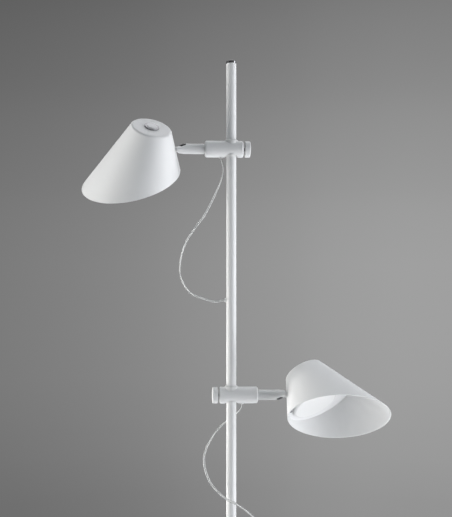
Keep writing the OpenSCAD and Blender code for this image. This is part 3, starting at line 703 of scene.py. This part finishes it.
def stage_object(name, points, faces, material):
    data = bpy.data.meshes.new(name)
    data.from_pydata(points, [], faces)
    data.materials.append(material)
    smooth_faces(data)
    made = bpy.data.objects.new(name, data)
    bpy.context.scene.collection.objects.link(made)


def make_floor(paint):
    """A round pale floor that takes the lamp's shadow and fades into the backdrop."""
    floor = Finish("stage_floor", paint, roughness=0.7)
    floor.tone(floor.noise(size=0.4, detail=2.0), darkest=0.97)
    grey = Backdrop(floor.material)
    outer = grey.ranged(grey.distance, *FLOOR_FADE, interpolation="SMOOTHSTEP")
    grey.finish(floor.shader.outputs["BSDF"], grey.math("MULTIPLY", grey.seen(), outer))
    rim = [rim_point(i, 0.0) for i in range(STAGE_SIDES)]
    stage_object("floor", rim, [tuple(range(STAGE_SIDES))], floor.material)


def make_backdrop():
    """A round wall far behind the lamp. Only the camera sees it, so the studio's light reaches the lamp."""
    grey = Backdrop(new_material("stage_backdrop"))
    clear = grey.node("ShaderNodeBsdfTransparent")
    grey.finish(clear.outputs["BSDF"], grey.seen())
    points = [rim_point(i, z) for i in range(STAGE_SIDES) for z in (0.0, WALL_HEIGHT)]
    faces = []
    for i in range(STAGE_SIDES):
        a, b = 2 * i, 2 * ((i + 1) % STAGE_SIDES)
        faces.append((a, b, b + 1, a + 1))
    stage_object("backdrop", points, faces, grey.material)


def make_softbox(name, place, wide, tall, power, tint):
    light = bpy.data.lights.new(name, "AREA")
    light.shape = "RECTANGLE"
    light.size = wide
    light.size_y = tall
    light.energy = power
    light.color = tint
    made = bpy.data.objects.new(name, light)
    made.location = place
    made.rotation_euler = (SOFTBOX_AIM - Vector(place)).to_track_quat("-Z", "Y").to_euler()
    bpy.context.scene.collection.objects.link(made)


def make_world():
    """A weak even light from all round."""
    world = bpy.data.worlds.new("studio")
    world.use_nodes = True
    background = world.node_tree.nodes["Background"]
    background.inputs["Color"].default_value = (*BLUE, 1)
    background.inputs["Strength"].default_value = WORLD_LIGHT
    bpy.context.scene.world = world


# ---- operators ----


class LAMP_OT_camera(bpy.types.Operator):
    """Add the camera at the photograph's place, level and square to the pole"""

    bl_idname = "lamp.camera"
    bl_label = "Camera"

    def execute(self, context):
        studio = context.scene.lamp_studio
        data = bpy.data.cameras.new("camera")
        data.sensor_width = SENSOR_MM
        data.lens = studio.focal
        data.shift_y = studio.rise
        data.clip_start = CLIP_NEAR
        data.clip_end = CLIP_FAR
        made = bpy.data.objects.new("camera", data)
        made.location = (studio.across, -studio.distance, studio.height)
        made.rotation_euler = (math.pi / 2, 0, 0)
        context.scene.collection.objects.link(made)
        context.scene.camera = made
        return {"FINISHED"}


class LAMP_OT_cords(bpy.types.Operator):
    """Make the two clear cords with their twisted conductors"""

    bl_idname = "lamp.cords"
    bl_label = "Cords"

    def execute(self, context):
        sheath = clear_sheath("clear_sheath")
        wire = tinned_wire("tinned_strands", context.scene.lamp_cord.tin)
        for head in HEADS:
            make_cord(head, sheath, wire)
        return {"FINISHED"}


class LAMP_OT_shade_lips(bpy.types.Operator):
    """Fold black lips over the flat ears of the forks, as painted shade in the slots next to the black guides"""

    bl_idname = "lamp.lips"
    bl_label = "Guide Lips"

    def execute(self, context):
        # black plastic laid where the fork's slot lies in shade: painted shade, not a real part
        black = moulded_plastic("black_lips_painted_shade", context.scene.lamp_paint.black, roughness=0.4)
        for head in HEADS:
            for part, up in (("top", 1), ("bottom", -1)):
                make_shade_lip(head, part, up, black)
        return {"FINISHED"}


class LAMP_OT_finishes(bpy.types.Operator):
    """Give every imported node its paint, plastic or metal"""

    bl_idname = "lamp.finishes"
    bl_label = "Finishes"

    def execute(self, context):
        finish_nodes(make_finishes())
        return {"FINISHED"}


class LAMP_OT_stage(bpy.types.Operator):
    """Add the pale floor, the grey backdrop and the softboxes"""

    bl_idname = "lamp.stage"
    bl_label = "Stage"

    def execute(self, context):
        make_floor(context.scene.lamp_studio.floor)
        make_backdrop()
        for box in SOFTBOXES:
            make_softbox(*box)
        make_world()
        context.scene.view_settings.view_transform = "Standard"
        return {"FINISHED"}


STEPS = (LAMP_OT_camera, LAMP_OT_cords, LAMP_OT_shade_lips, LAMP_OT_finishes, LAMP_OT_stage)


class LAMP_PT_panel(bpy.types.Panel):
    """Lists the lamp's sizes, colours and steps"""

    bl_idname = "LAMP_PT_panel"
    bl_label = "Floor Lamp"
    bl_space_type = "VIEW_3D"
    bl_region_type = "UI"
    bl_category = "Floor Lamp"

    def draw(self, context):
        for group, kind in GROUPS.items():
            box = self.layout.box()
            for prop in kind.__annotations__:
                box.prop(getattr(context.scene, group), prop)
        for step in STEPS:
            self.layout.operator(step.bl_idname)


CLASSES = (*GROUPS.values(), *STEPS, LAMP_PT_panel)


def register():
    for kind in CLASSES:
        bpy.utils.register_class(kind)
    for group, kind in GROUPS.items():
        setattr(bpy.types.Scene, group, PointerProperty(type=kind))


def unregister():
    for group in GROUPS:
        delattr(bpy.types.Scene, group)
    for kind in reversed(CLASSES):
        bpy.utils.unregister_class(kind)


def main():
    register()
    bpy.ops.lamp.camera()
    bpy.ops.lamp.cords()
    bpy.ops.lamp.lips()
    bpy.ops.lamp.finishes()
    bpy.ops.lamp.stage()


if __name__ == "__main__":
    main()
